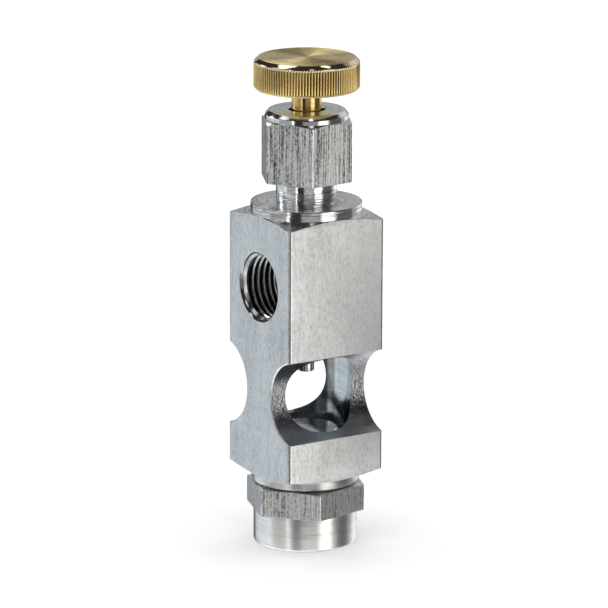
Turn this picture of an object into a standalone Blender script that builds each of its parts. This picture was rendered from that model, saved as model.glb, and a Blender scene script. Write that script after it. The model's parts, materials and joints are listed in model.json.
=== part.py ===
"""Sight-feed needle valve: a square-bar drip valve with an open sight window.

Metres, +Z up. The origin is the centre of the outlet fitting's bottom face, which the
valve stands on. The inlet port looks along -X and the sight window opens along -Y and +Y.
Every turned piece shares the Z axis, which is also the needle's axis.
"""
import math

import bpy

MM = 0.001

# ---- clearances -------------------------------------------------------------------
FIT_GAP = 0.30 * MM            # between pieces that touch, screw or press together
SEATED_CLEARANCE = 0.05 * MM   # needle cone to seat edge, across the axis, when shut

# ---- bar stock of the valve body ---------------------------------------------------
BAR_WIDTH = 15.875 * MM        # 5/8 inch square bar
BAR_LENGTH = 37.75 * MM        # between the two turned ends, at the middle of a face
BAR_EDGE_BREAK = 0.45 * MM     # chamfer on the four long edges
END_CONE_ANGLE = math.radians(13.3)
RING_INSET = 0.30 * MM         # turned ring under the bar, below the bar's half width
RING_HEIGHT = 1.25 * MM
FLANGE_INSET = 0.07 * MM       # turned flange above the bar, below the bar's half width
FLANGE_THICKNESS = 1.41 * MM
NECK_WALL = 0.84 * MM          # round the stuffing box
NECK_LENGTH = 8.30 * MM        # above the flange

# ---- sight window ------------------------------------------------------------------
WINDOW_RISE = 12.20 * MM       # window centre above the bar's lower end
NOTCH_RADIUS = 6.10 * MM
NOTCH_DEPTH = 4.76 * MM        # each half-round notch, from its bar face
SIGHT_BORE_RADIUS = 6.35 * MM  # vertical bore that joins the notches
CEILING_RISE = 6.65 * MM       # top of that bore above the window centre

# ---- inlet port --------------------------------------------------------------------
PORT_RADIUS = 4.43 * MM        # 1/8 inch pipe thread, at its crests
PORT_MOUTH_FLARE = 0.48 * MM   # added to the radius at the mouth
PORT_MOUTH_DEPTH = 0.79 * MM
PORT_FLOOR_INSET = 0.81 * MM   # how far the port's flat end runs into the chamber
PORT_ABOVE_SEAT = 0.34 * MM    # port's lowest line above the seat

# ---- needle and its thread ---------------------------------------------------------
STEM_RADIUS = 2.12 * MM
STEM_THREAD_HEIGHT = 0.29 * MM # crest above the plain stem
STEM_THREAD_LENGTH = 7.00 * MM
NEEDLE_RADIUS = 1.60 * MM
NEEDLE_TIP_RADIUS = 0.20 * MM
NEEDLE_TAPER = 0.35            # radius gained for each unit of length
REST_OPENING = 1.19 * MM       # needle lift above shut, as the valve is drawn
OPEN_TRAVEL = 2.40 * MM        # lift from there to fully open

# ---- drip nozzle, which carries the seat -------------------------------------------
NOZZLE_RADIUS = 1.21 * MM
NOZZLE_BORE = 0.75 * MM
NOZZLE_DROP = 4.34 * MM        # nozzle tip below the window's ceiling
NOZZLE_HEAD_HEIGHT = 2.30 * MM
NOZZLE_WEB = 1.40 * MM         # body left between the ceiling and the nozzle's shoulder

# ---- stuffing box in the neck ------------------------------------------------------
PACKING_WIDTH = 0.73 * MM      # across one side of a packing ring
PACKING_THICKNESS = 1.10 * MM
PACKING_RINGS = 2
WASHER_THICKNESS = 0.60 * MM
GLAND_ENTRY = 0.60 * MM        # how far the gland follower reaches into the box
GLAND_LIFT = 0.99 * MM         # its wide face above the neck
GLAND_OVERHANG = 0.45 * MM     # its wide face beyond the box
GLAND_FACE_THICKNESS = 1.20 * MM

# ---- packing nut -------------------------------------------------------------------
NUT_STANDOFF = 3.23 * MM       # nut's lower face above the flange
NUT_FLATS = 12.00 * MM
NUT_CORNER_TURN = math.radians(3.4)
NUT_COLLAR_INSET = 0.11 * MM   # collar inside the flats
NUT_COLLAR_HEIGHT = 1.29 * MM  # above the flats' chamfer, bevel included
NUT_BEVEL_WIDTH = 0.52 * MM
NUT_BEVEL_HEIGHT = 0.64 * MM
NUT_CHAMFER_ANGLE = math.radians(20.0)
NUT_HOLE_CLEARANCE = 0.47 * MM
NUT_ROOF = 2.38 * MM

# ---- knob --------------------------------------------------------------------------
KNOB_REST_GAP = 2.88 * MM      # knob's underside above the nut, as the valve is drawn
KNOB_RADIUS = 7.46 * MM
KNOB_HEIGHT = 4.53 * MM
KNOB_LOWER_BEVEL = 0.35 * MM
KNOB_CROWN_HEIGHT = 0.78 * MM
KNOB_FACE_INSET = 0.63 * MM    # flat top face, below the knob's radius
KNOB_SOCKET_ROOF = 1.50 * MM   # brass left above the stem's end
KNOB_CROWN_STEPS = 4

# ---- outlet fitting ----------------------------------------------------------------
OUTLET_FLATS = 15.10 * MM
OUTLET_INSET = 0.16 * MM       # round lower part inside the flats
OUTLET_LENGTH = 4.92 * MM      # round lower part
OUTLET_EDGE = 0.30 * MM        # broken lower edge
OUTLET_HEX_HEIGHT = 3.88 * MM
OUTLET_CORNER_TURN = math.radians(10.9)
OUTLET_CHAMFER_INSET = 0.10 * MM
OUTLET_CHAMFER_ANGLE = math.radians(11.0)
SPIGOT_FACE_DROP = 6.05 * MM   # spigot's end below the window's centre
SPIGOT_CHAMFER = 1.65 * MM     # on the spigot's end, equal both ways
DRAIN_RADIUS = 2.40 * MM
SOCKET_RADIUS = 4.43 * MM      # 1/8 inch pipe thread in the bottom, at its crests
SOCKET_MOUTH_FLARE = 0.72 * MM
SOCKET_MOUTH_DEPTH = 0.75 * MM
SOCKET_DEPTH = 7.60 * MM
O_RING_SECTION = 0.50 * MM     # radius of the ring's cord
O_RING_RISE = 1.60 * MM        # groove centre above the hexagon

# ---- fineness ----------------------------------------------------------------------
BODY_STEPS = 48
MEDIUM_STEPS = 36
SMALL_STEPS = 24
O_RING_SECTION_STEPS = 12
CUT_OVERRUN = 1.0 * MM         # how far a cutter runs past the surface it breaks
SHARP_ANGLE = math.radians(28)

# ---- radii worked out from the sizes above ------------------------------------------
BAR_HALF = BAR_WIDTH / 2
RING_RADIUS = BAR_HALF - RING_INSET
FLANGE_RADIUS = BAR_HALF - FLANGE_INSET
SLEEVE_INNER = STEM_RADIUS + FIT_GAP             # bore of what the stem runs through
SLEEVE_OUTER = SLEEVE_INNER + PACKING_WIDTH      # rim of what sits in the stuffing box
BOX_RADIUS = SLEEVE_OUTER + FIT_GAP
NECK_RADIUS = BOX_RADIUS + NECK_WALL
STEM_THREAD_RADIUS = STEM_RADIUS + STEM_THREAD_HEIGHT
CHAMBER_RADIUS = STEM_THREAD_RADIUS + FIT_GAP
NOZZLE_HEAD_RADIUS = CHAMBER_RADIUS - FIT_GAP
NOZZLE_HOLE_RADIUS = NOZZLE_RADIUS + FIT_GAP
PORT_FLOOR = CHAMBER_RADIUS - PORT_FLOOR_INSET   # from the needle axis
NUT_BORE_RADIUS = NECK_RADIUS + FIT_GAP
NUT_HOLE_RADIUS = STEM_RADIUS + NUT_HOLE_CLEARANCE
OUTLET_RADIUS = OUTLET_FLATS / 2 - OUTLET_INSET
SPIGOT_RADIUS = SIGHT_BORE_RADIUS - FIT_GAP
GROOVE_RADIUS = SPIGOT_RADIUS - 2 * O_RING_SECTION - FIT_GAP

# ---- heights worked out from the sizes above ----------------------------------------
HEX_TOP = OUTLET_LENGTH + OUTLET_HEX_HEIGHT
BODY_BOTTOM = HEX_TOP + FIT_GAP
BAR_BOTTOM = BODY_BOTTOM + RING_HEIGHT
BAR_TOP = BAR_BOTTOM + BAR_LENGTH
FLANGE_TOP = BAR_TOP + FLANGE_THICKNESS
NECK_TOP = FLANGE_TOP + NECK_LENGTH
WINDOW_Z = BAR_BOTTOM + WINDOW_RISE
SPIGOT_TOP = WINDOW_Z - SPIGOT_FACE_DROP
CEILING_Z = WINDOW_Z + CEILING_RISE
SHOULDER_Z = CEILING_Z + NOZZLE_WEB
SEAT_Z = SHOULDER_Z + FIT_GAP + NOZZLE_HEAD_HEIGHT
PORT_Z = SEAT_Z + PORT_ABOVE_SEAT + PORT_RADIUS
PACKING_STACK = WASHER_THICKNESS + PACKING_RINGS * (PACKING_THICKNESS + FIT_GAP)
BOX_FLOOR = NECK_TOP - GLAND_ENTRY - 2 * FIT_GAP - PACKING_STACK
ROOF_Z = NECK_TOP + GLAND_LIFT + GLAND_FACE_THICKNESS + FIT_GAP
NUT_BOTTOM = FLANGE_TOP + NUT_STANDOFF
NUT_TOP = ROOF_Z + NUT_ROOF
KNOB_BOTTOM = NUT_TOP + KNOB_REST_GAP


def clear_scene():
    for old in list(bpy.data.objects):
        bpy.data.objects.remove(old, do_unlink=True)


def new_collection(name):
    collection = bpy.data.collections.new(name)
    bpy.context.scene.collection.children.link(collection)
    return collection


def new_material(name, colour, metallic, roughness):
    material = bpy.data.materials.new(name)
    material.use_nodes = True
    shader = material.node_tree.nodes["Principled BSDF"]
    shader.inputs["Base Color"].default_value = (*colour, 1.0)
    shader.inputs["Metallic"].default_value = metallic
    shader.inputs["Roughness"].default_value = roughness
    return material


def move_to(obj, collection):
    for owner in list(obj.users_collection):
        owner.objects.unlink(obj)
    collection.objects.link(obj)


def turned(name, profile, steps, collection, closed=False):
    """Revolve (radius, height) points, listed down the outer side, about Z."""
    mesh = bpy.data.meshes.new(name)
    edges = [(i, i + 1) for i in range(len(profile) - 1)]
    if closed:
        edges.append((len(profile) - 1, 0))
    mesh.from_pydata([(radius, 0.0, height) for radius, height in profile], edges, [])
    obj = bpy.data.objects.new(name, mesh)
    collection.objects.link(obj)
    screw = obj.modifiers.new("Turn", "SCREW")
    screw.axis = "Z"
    screw.angle = math.tau
    screw.steps = steps
    screw.render_steps = steps
    screw.use_merge_vertices = True
    screw.merge_threshold = 0.00001
    screw.use_smooth_shade = True
    return obj


def as_cutter(obj):
    obj.hide_render = True
    obj.display_type = "WIRE"
    return obj


def boolean(obj, tool, operation):
    step = obj.modifiers.new(tool.name, "BOOLEAN")
    step.operation = operation
    step.solver = "EXACT"
    step.object = tool


def settle(obj, material):
    """Freeze the modifiers, shade the result and give it its material."""
    bpy.context.view_layer.update()
    evaluated = obj.evaluated_get(bpy.context.evaluated_depsgraph_get())
    mesh = bpy.data.meshes.new_from_object(evaluated)
    obj.modifiers.clear()
    obj.data = mesh
    mesh.materials.clear()
    mesh.materials.append(material)
    mesh.shade_smooth()
    mesh.set_sharp_from_angle(angle=SHARP_ANGLE)
    return obj


def square_bar(name, width, edge_break, low, high, collection):
    bpy.ops.mesh.primitive_cube_add(size=1.0, location=(0, 0, (low + high) / 2))
    bar = bpy.context.object
    bar.name = name
    bar.scale = (width, width, high - low)
    bpy.ops.object.transform_apply(location=True, rotation=False, scale=True)
    move_to(bar, collection)
    weights = bar.data.attributes.new("bevel_weight_edge", "FLOAT", "EDGE")
    for edge in bar.data.edges:
        ends = [bar.data.vertices[i].co for i in edge.vertices]
        upright = (ends[0].xy - ends[1].xy).length < FIT_GAP
        weights.data[edge.index].value = 1.0 if upright else 0.0
    bevel = bar.modifiers.new("Edge break", "BEVEL")
    bevel.limit_method = "WEIGHT"
    bevel.width = edge_break
    bevel.segments = 1
    return bar


def hexagon_bar(name, flats, corner_turn, low, high, collection):
    bpy.ops.mesh.primitive_cylinder_add(
        vertices=6,
        radius=flats / math.sqrt(3),
        depth=high - low,
        location=(0, 0, (low + high) / 2),
        rotation=(0, 0, corner_turn - math.pi / 2),
    )
    bar = bpy.context.object
    bar.name = name
    bpy.ops.object.transform_apply(location=True, rotation=True, scale=False)
    move_to(bar, collection)
    return bar


def along_x_cylinder(name, radius, length, y, z, collection):
    bpy.ops.mesh.primitive_cylinder_add(
        vertices=BODY_STEPS,
        radius=radius,
        depth=length,
        location=(0, y, z),
        rotation=(0, math.pi / 2, 0),
    )
    cylinder = bpy.context.object
    cylinder.name = name
    move_to(cylinder, collection)
    return as_cutter(cylinder)


def body_profile():
    """Outside of the body as the lathe leaves it; the square bar is cut by it."""
    slope = math.tan(END_CONE_ANGLE)
    reach = BAR_WIDTH                       # past the bar's corners
    top_edge = BAR_TOP - (reach - BAR_HALF) * slope
    low_edge = BAR_BOTTOM + (reach - BAR_HALF) * slope
    return [
        (0.0, NECK_TOP),
        (NECK_RADIUS, NECK_TOP),
        (NECK_RADIUS, FLANGE_TOP),
        (FLANGE_RADIUS, FLANGE_TOP),
        (FLANGE_RADIUS, BAR_TOP + FLANGE_INSET * slope),
        (reach, top_edge),
        (reach, low_edge),
        (RING_RADIUS, BAR_BOTTOM - RING_INSET * slope),
        (RING_RADIUS, BODY_BOTTOM),
        (0.0, BODY_BOTTOM),
    ]


def bore_profile():
    """Everything bored on the Z axis: stuffing box, chamber, nozzle hole, sight bore."""
    return [
        (0.0, NECK_TOP + CUT_OVERRUN),
        (BOX_RADIUS, NECK_TOP + CUT_OVERRUN),
        (BOX_RADIUS, BOX_FLOOR),
        (CHAMBER_RADIUS, BOX_FLOOR),
        (CHAMBER_RADIUS, SHOULDER_Z),
        (NOZZLE_HOLE_RADIUS, SHOULDER_Z),
        (NOZZLE_HOLE_RADIUS, CEILING_Z),
        (SIGHT_BORE_RADIUS, CEILING_Z),
        (SIGHT_BORE_RADIUS, BODY_BOTTOM - CUT_OVERRUN),
        (0.0, BODY_BOTTOM - CUT_OVERRUN),
    ]


def port_profile():
    """Inlet port, drawn along +Z from the needle axis and turned to face -X later."""
    mouth_slope = PORT_MOUTH_FLARE / PORT_MOUTH_DEPTH
    outer = BAR_HALF + CUT_OVERRUN
    return [
        (0.0, outer),
        (PORT_RADIUS + PORT_MOUTH_FLARE + CUT_OVERRUN * mouth_slope, outer),
        (PORT_RADIUS, BAR_HALF - PORT_MOUTH_DEPTH),
        (PORT_RADIUS, PORT_FLOOR),
        (0.0, PORT_FLOOR),
    ]


def make_body(parts, cutters, material):
    bar = square_bar("valve_body", BAR_WIDTH, BAR_EDGE_BREAK,
                     BODY_BOTTOM - CUT_OVERRUN, NECK_TOP + CUT_OVERRUN, parts)
    lathe = as_cutter(turned("body_outside", body_profile(), BODY_STEPS, cutters))
    boolean(bar, lathe, "INTERSECT")
    bore = as_cutter(turned("body_bore", bore_profile(), BODY_STEPS, cutters))
    bore.rotation_euler = (0, 0, math.pi / BODY_STEPS)   # facets clear of the notches'
    boolean(bar, bore, "DIFFERENCE")
    offset = BAR_HALF + NOTCH_RADIUS - NOTCH_DEPTH
    for side, sign in (("front", -1), ("back", 1)):
        notch = along_x_cylinder(side + "_notch", NOTCH_RADIUS, BAR_WIDTH * 2,
                                 sign * offset, WINDOW_Z, cutters)
        boolean(bar, notch, "DIFFERENCE")
    port = as_cutter(turned("inlet_port", port_profile(), MEDIUM_STEPS, cutters))
    port.location = (0, 0, PORT_Z)
    port.rotation_euler = (0, -math.pi / 2, 0)
    boolean(bar, port, "DIFFERENCE")
    return settle(bar, material)


def outlet_profile():
    """Outside of the outlet fitting, with its O-ring groove; cut from hexagon bar."""
    reach = OUTLET_FLATS
    flat_end = OUTLET_FLATS / 2 - OUTLET_CHAMFER_INSET
    corner_z = HEX_TOP - (reach - flat_end) * math.tan(OUTLET_CHAMFER_ANGLE)
    groove_half = O_RING_SECTION + FIT_GAP
    groove_z = HEX_TOP + O_RING_RISE
    return [
        (0.0, SPIGOT_TOP),
        (SPIGOT_RADIUS - SPIGOT_CHAMFER, SPIGOT_TOP),
        (SPIGOT_RADIUS, SPIGOT_TOP - SPIGOT_CHAMFER),
        (SPIGOT_RADIUS, groove_z + groove_half),
        (GROOVE_RADIUS, groove_z + groove_half),
        (GROOVE_RADIUS, groove_z - groove_half),
        (SPIGOT_RADIUS, groove_z - groove_half),
        (SPIGOT_RADIUS, HEX_TOP),
        (flat_end, HEX_TOP),
        (reach, corner_z),
        (reach, OUTLET_LENGTH),
        (OUTLET_RADIUS, OUTLET_LENGTH),
        (OUTLET_RADIUS, OUTLET_EDGE),
        (OUTLET_RADIUS - OUTLET_EDGE, 0.0),
        (0.0, 0.0),
    ]


def outlet_bore_profile():
    mouth_slope = SOCKET_MOUTH_FLARE / SOCKET_MOUTH_DEPTH
    return [
        (0.0, SPIGOT_TOP + CUT_OVERRUN),
        (DRAIN_RADIUS, SPIGOT_TOP + CUT_OVERRUN),
        (DRAIN_RADIUS, SOCKET_DEPTH),
        (SOCKET_RADIUS, SOCKET_DEPTH),
        (SOCKET_RADIUS, SOCKET_MOUTH_DEPTH),
        (SOCKET_RADIUS + SOCKET_MOUTH_FLARE + CUT_OVERRUN * mouth_slope, -CUT_OVERRUN),
        (0.0, -CUT_OVERRUN),
    ]


def make_outlet_fitting(parts, cutters, material):
    bar = hexagon_bar("outlet_fitting", OUTLET_FLATS, OUTLET_CORNER_TURN,
                      -CUT_OVERRUN, SPIGOT_TOP + CUT_OVERRUN, parts)
    lathe = as_cutter(turned("outlet_outside", outlet_profile(), BODY_STEPS, cutters))
    boolean(bar, lathe, "INTERSECT")
    bore = as_cutter(turned("outlet_bore", outlet_bore_profile(), MEDIUM_STEPS, cutters))
    boolean(bar, bore, "DIFFERENCE")
    return settle(bar, material)


def make_o_ring(parts, material):
    bpy.ops.mesh.primitive_torus_add(
        major_radius=GROOVE_RADIUS + FIT_GAP + O_RING_SECTION,
        minor_radius=O_RING_SECTION,
        major_segments=MEDIUM_STEPS,
        minor_segments=O_RING_SECTION_STEPS,
        location=(0, 0, HEX_TOP + O_RING_RISE),
    )
    ring = bpy.context.object
    ring.name = "outlet_o_ring"
    move_to(ring, parts)
    return settle(ring, material)


def make_nozzle(parts, material):
    """Drip nozzle: a headed tube dropped in from above, whose top edge is the seat."""
    head_bottom = SEAT_Z - NOZZLE_HEAD_HEIGHT
    profile = [
        (NOZZLE_BORE, SEAT_Z),
        (NOZZLE_HEAD_RADIUS, SEAT_Z),
        (NOZZLE_HEAD_RADIUS, head_bottom),
        (NOZZLE_RADIUS, head_bottom),
        (NOZZLE_RADIUS, CEILING_Z - NOZZLE_DROP),
        (NOZZLE_BORE, CEILING_Z - NOZZLE_DROP),
    ]
    nozzle = turned("drip_nozzle", profile, SMALL_STEPS, parts, closed=True)
    return settle(nozzle, material)


def make_nut(parts, cutters, material):
    half = NUT_FLATS / 2
    collar = half - NUT_COLLAR_INSET
    slope = math.tan(NUT_CHAMFER_ANGLE)
    chamfer_z = NUT_TOP - NUT_COLLAR_HEIGHT
    reach = NUT_FLATS
    outside = [
        (0.0, NUT_TOP),
        (collar - NUT_BEVEL_WIDTH, NUT_TOP),
        (collar, NUT_TOP - NUT_BEVEL_HEIGHT),
        (collar, chamfer_z + NUT_COLLAR_INSET * slope),
        (reach, chamfer_z - (reach - half) * slope),
        (reach, NUT_BOTTOM),
        (0.0, NUT_BOTTOM),
    ]
    inside = [
        (0.0, NUT_TOP + CUT_OVERRUN),
        (NUT_HOLE_RADIUS, NUT_TOP + CUT_OVERRUN),
        (NUT_HOLE_RADIUS, ROOF_Z),
        (NUT_BORE_RADIUS, ROOF_Z),
        (NUT_BORE_RADIUS, NUT_BOTTOM - CUT_OVERRUN),
        (0.0, NUT_BOTTOM - CUT_OVERRUN),
    ]
    bar = hexagon_bar("packing_nut", NUT_FLATS, NUT_CORNER_TURN,
                      NUT_BOTTOM - CUT_OVERRUN, NUT_TOP + CUT_OVERRUN, parts)
    lathe = as_cutter(turned("nut_outside", outside, MEDIUM_STEPS, cutters))
    boolean(bar, lathe, "INTERSECT")
    bore = as_cutter(turned("nut_bore", inside, MEDIUM_STEPS, cutters))
    boolean(bar, bore, "DIFFERENCE")
    return settle(bar, material)


def ring(name, inner, outer, low, high, parts, material):
    profile = [(inner, high), (outer, high), (outer, low), (inner, low)]
    return settle(turned(name, profile, SMALL_STEPS, parts, closed=True), material)


def make_stuffing(parts, washer_material, packing_material, gland_material):
    """Washer, packing rings and gland follower, stacked up from the box's floor."""
    low = BOX_FLOOR + FIT_GAP
    high = low + WASHER_THICKNESS
    ring("packing_washer", SLEEVE_INNER, SLEEVE_OUTER, low, high, parts, washer_material)
    for number in range(1, PACKING_RINGS + 1):
        low = high + FIT_GAP
        high = low + PACKING_THICKNESS
        ring(f"stem_packing_{number}", SLEEVE_INNER, SLEEVE_OUTER, low, high, parts,
             packing_material)
    gland_bottom = high + FIT_GAP
    gland_top = ROOF_Z - FIT_GAP
    step = gland_top - GLAND_FACE_THICKNESS
    profile = [
        (SLEEVE_INNER, gland_top),
        (BOX_RADIUS + GLAND_OVERHANG, gland_top),
        (BOX_RADIUS + GLAND_OVERHANG, step),
        (SLEEVE_OUTER, step),
        (SLEEVE_OUTER, gland_bottom),
        (SLEEVE_INNER, gland_bottom),
    ]
    gland = turned("gland_follower", profile, SMALL_STEPS, parts, closed=True)
    return settle(gland, gland_material)


def make_needle(parts, axis, material):
    """Stem with its thread and tapered point; heights are from the seat."""
    shut_depth = (NOZZLE_BORE - SEATED_CLEARANCE - NEEDLE_TIP_RADIUS) / NEEDLE_TAPER
    tip = REST_OPENING - shut_depth
    cone_top = tip + (NEEDLE_RADIUS - NEEDLE_TIP_RADIUS) / NEEDLE_TAPER
    thread_top = BOX_FLOOR - OPEN_TRAVEL - FIT_GAP - SEAT_Z
    thread_bottom = thread_top - STEM_THREAD_LENGTH
    stem_top = KNOB_BOTTOM + KNOB_HEIGHT - KNOB_SOCKET_ROOF - FIT_GAP - SEAT_Z
    thread_edge = STEM_THREAD_RADIUS - NEEDLE_RADIUS
    profile = [
        (0.0, stem_top),
        (STEM_RADIUS, stem_top),
        (STEM_RADIUS, thread_top + STEM_THREAD_HEIGHT),
        (STEM_THREAD_RADIUS, thread_top),
        (STEM_THREAD_RADIUS, thread_bottom + thread_edge),
        (NEEDLE_RADIUS, thread_bottom),
        (NEEDLE_RADIUS, cone_top),
        (NEEDLE_TIP_RADIUS, tip),
        (0.0, tip),
    ]
    needle = turned("needle_stem", profile, SMALL_STEPS, parts)
    needle.parent = axis
    return settle(needle, material)


def knob_profile():
    """Knob's outside with its crowned shoulder, then its stem socket; from its base."""
    face = KNOB_RADIUS - KNOB_FACE_INSET
    crown = []
    for step in range(KNOB_CROWN_STEPS + 1):
        turn = step / KNOB_CROWN_STEPS * math.pi / 2
        crown.append((face + KNOB_FACE_INSET * math.sin(turn),
                      KNOB_HEIGHT - KNOB_CROWN_HEIGHT * (1 - math.cos(turn))))
    roof = KNOB_HEIGHT - KNOB_SOCKET_ROOF
    return [(0.0, KNOB_HEIGHT)] + crown + [
        (KNOB_RADIUS, KNOB_LOWER_BEVEL),
        (KNOB_RADIUS - KNOB_LOWER_BEVEL, 0.0),
        (SLEEVE_INNER, 0.0),
        (SLEEVE_INNER, roof),
        (0.0, roof),
    ]


def make_knob(parts, axis, material):
    knob = turned("knob", knob_profile(), BODY_STEPS, parts)
    knob.parent = axis
    return settle(knob, material)


def make_axis(name, height, parts):
    axis = bpy.data.objects.new(name, None)
    axis.location = (0, 0, height)
    axis.empty_display_size = BAR_HALF
    parts.objects.link(axis)
    return axis


def main():
    clear_scene()
    parts = new_collection("sight_feed_valve")
    cutters = new_collection("cutters")
    aluminium = new_material("bar_aluminium", (0.68, 0.69, 0.70), 1.0, 0.38)
    turned_aluminium = new_material("turned_aluminium", (0.70, 0.70, 0.68), 1.0, 0.30)
    nut_aluminium = new_material("nut_aluminium", (0.66, 0.67, 0.68), 1.0, 0.34)
    brass = new_material("knob_brass", (0.72, 0.52, 0.20), 1.0, 0.27)
    stem_brass = new_material("stem_brass", (0.75, 0.50, 0.19), 1.0, 0.22)
    gland_brass = new_material("gland_brass", (0.70, 0.53, 0.25), 1.0, 0.32)
    washer_brass = new_material("washer_brass", (0.71, 0.55, 0.28), 1.0, 0.35)
    steel = new_material("nozzle_steel", (0.62, 0.62, 0.61), 1.0, 0.25)
    rubber = new_material("o_ring_rubber", (0.02, 0.02, 0.02), 0.0, 0.55)
    fluoropolymer = new_material("packing_ptfe", (0.85, 0.85, 0.82), 0.0, 0.45)

    make_outlet_fitting(parts, cutters, turned_aluminium)
    make_o_ring(parts, rubber)
    make_body(parts, cutters, aluminium)
    make_nozzle(parts, steel)
    make_stuffing(parts, washer_brass, fluoropolymer, gland_brass)
    make_nut(parts, cutters, nut_aluminium)
    needle_axis = make_axis("needle_axis", SEAT_Z, parts)
    knob_axis = make_axis("knob_axis", KNOB_BOTTOM, parts)
    make_needle(parts, needle_axis, stem_brass)
    make_knob(parts, knob_axis, brass)


main()
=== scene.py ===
"""Looks of the sight-feed needle valve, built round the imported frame. Metres, +Z up."""
import json
import math

import bpy
from mathutils import Matrix, Quaternion, Vector


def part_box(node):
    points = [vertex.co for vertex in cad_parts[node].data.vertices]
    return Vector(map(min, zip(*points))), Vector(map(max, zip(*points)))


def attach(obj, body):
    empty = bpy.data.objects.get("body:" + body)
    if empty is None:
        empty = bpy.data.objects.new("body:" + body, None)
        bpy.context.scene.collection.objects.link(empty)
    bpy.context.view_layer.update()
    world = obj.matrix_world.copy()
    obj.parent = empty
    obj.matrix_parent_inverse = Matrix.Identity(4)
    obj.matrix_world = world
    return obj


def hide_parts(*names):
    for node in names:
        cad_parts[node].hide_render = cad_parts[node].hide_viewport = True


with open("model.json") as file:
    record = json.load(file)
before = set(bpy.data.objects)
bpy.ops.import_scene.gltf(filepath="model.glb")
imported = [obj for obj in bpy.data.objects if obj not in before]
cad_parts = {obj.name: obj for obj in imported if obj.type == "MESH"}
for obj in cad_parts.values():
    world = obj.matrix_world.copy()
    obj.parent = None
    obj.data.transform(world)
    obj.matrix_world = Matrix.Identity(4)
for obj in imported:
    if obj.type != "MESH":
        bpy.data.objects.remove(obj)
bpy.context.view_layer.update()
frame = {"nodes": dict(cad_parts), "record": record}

MM = 0.001

# ---- places read from the frame ------------------------------------------------------
BODY_LOW, BODY_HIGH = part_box("valve_body")
OUTLET_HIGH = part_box("outlet_fitting")[1]
NUT_LOW, NUT_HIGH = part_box("packing_nut")
NOZZLE_LOW, NOZZLE_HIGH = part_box("drip_nozzle")
STEM_LOW, STEM_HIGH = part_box("needle_stem")
KNOB_LOW, KNOB_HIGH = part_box("knob")
PORT_BOX = next(o for o in frame["record"]["physics"]["openings"]
                if o["name"] == "inlet_port")["box_m"]
PORT_Z = (PORT_BOX[0][2] + PORT_BOX[1][2]) / 2

# ---- steps of the meshes -------------------------------------------------------------
FINE = 192                     # round a large turned surface
MEDIUM = 128                   # round a threaded one
COARSE = 96                    # round a small one
EDGE_STEPS = 6                 # on a corner of the bar
THREAD_ROWS = 14               # in one pitch of a pipe thread
TOOTH_STEPS = 8                # on one tooth of the knurl
CUT = 1.0 * MM                 # how far a cutting tool runs past what it cuts
WELD_DISTANCE = 0.001 * MM
SMOOTH_ANGLE = math.radians(30)

# ---- body: square bar with cones, ring, flange and neck ------------------------------
BAR_HALF = BODY_HIGH.x
BAR_EDGE = 0.45 * MM
END_CONE = math.tan(math.radians(13.3))
TURNED_EDGE = 0.12 * MM        # rounds the flange and the ring
RING_HEIGHT = 1.25 * MM
RING_RADIUS = BAR_HALF - 0.30 * MM
FLANGE_RADIUS = BAR_HALF - 0.07 * MM
FLANGE_THICKNESS = 1.41 * MM
FLANGE_GROOVE_DROP = 0.34 * MM
FLANGE_GROOVE_DEPTH = 0.06 * MM
NECK_RADIUS = 4.29 * MM
NECK_LENGTH = 8.30 * MM
NECK_UNDERCUT = 0.10 * MM
NECK_GROOVES = 5
NECK_GROOVE_PITCH = 0.36 * MM
NECK_GROOVE_DEPTH = 0.05 * MM
BAR_BOTTOM = BODY_LOW.z + RING_HEIGHT
FLANGE_TOP = BODY_HIGH.z - NECK_LENGTH
BAR_TOP = FLANGE_TOP - FLANGE_THICKNESS

# ---- body: window, notches and bores -------------------------------------------------
WINDOW_Z = BAR_BOTTOM + 12.20 * MM
NOTCH_RADIUS = 6.10 * MM
NOTCH_DEPTH = 4.76 * MM
NOTCH_EDGE = 0.16 * MM
LONG_EDGE = 0.09 * MM
SIGHT_BORE = 6.35 * MM
CEILING_Z = WINDOW_Z + 6.65 * MM
BOX_RADIUS = 3.45 * MM         # stuffing box
BOX_DEPTH = 4.60 * MM
CHAMBER_RADIUS = 2.71 * MM
NOZZLE_HEAD = NOZZLE_HIGH.x
NOZZLE_RADIUS = 1.21 * MM
NOZZLE_BORE = 0.75 * MM
NOZZLE_EDGE = 0.10 * MM
SHOULDER_Z = NOZZLE_HIGH.z - 2.30 * MM

# ---- pipe threads, both 1/8 inch -----------------------------------------------------
PIPE_PITCH = 0.941 * MM
PIPE_CREST = 4.43 * MM
PIPE_ROOT = 5.02 * MM
THREAD_FLAT = 0.10             # part of half a pitch that is flat, at crest and root
PORT_FLARE = 0.48 * MM
PORT_MOUTH = 0.79 * MM
PORT_FLOOR = 1.90 * MM
PORT_BURR = 0.11 * MM
SOCKET_DEPTH = 7.60 * MM
SOCKET_MOUTH = 0.72 * MM

# ---- outlet fitting ------------------------------------------------------------------
OUTLET_FLATS = 15.10 * MM
OUTLET_TURN = math.radians(10.9)
OUTLET_RADIUS = OUTLET_FLATS / 2 - 0.16 * MM
OUTLET_LENGTH = 4.92 * MM
OUTLET_EDGE = 0.35 * MM
HEXAGON_TOP = OUTLET_LENGTH + 3.88 * MM
HEXAGON_FACE = OUTLET_FLATS / 2 - 0.10 * MM
HEXAGON_CONE = math.tan(math.radians(11.0))
SPIGOT_RADIUS = SIGHT_BORE - 0.02 * MM
SPIGOT_FACE = 4.40 * MM
SPIGOT_EDGE = 0.10 * MM
# width of the spigot's outer band that is painted light as a highlight
SPIGOT_HIGHLIGHT_RIM = 0.45 * MM
DRAIN_RADIUS = 2.40 * MM

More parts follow.
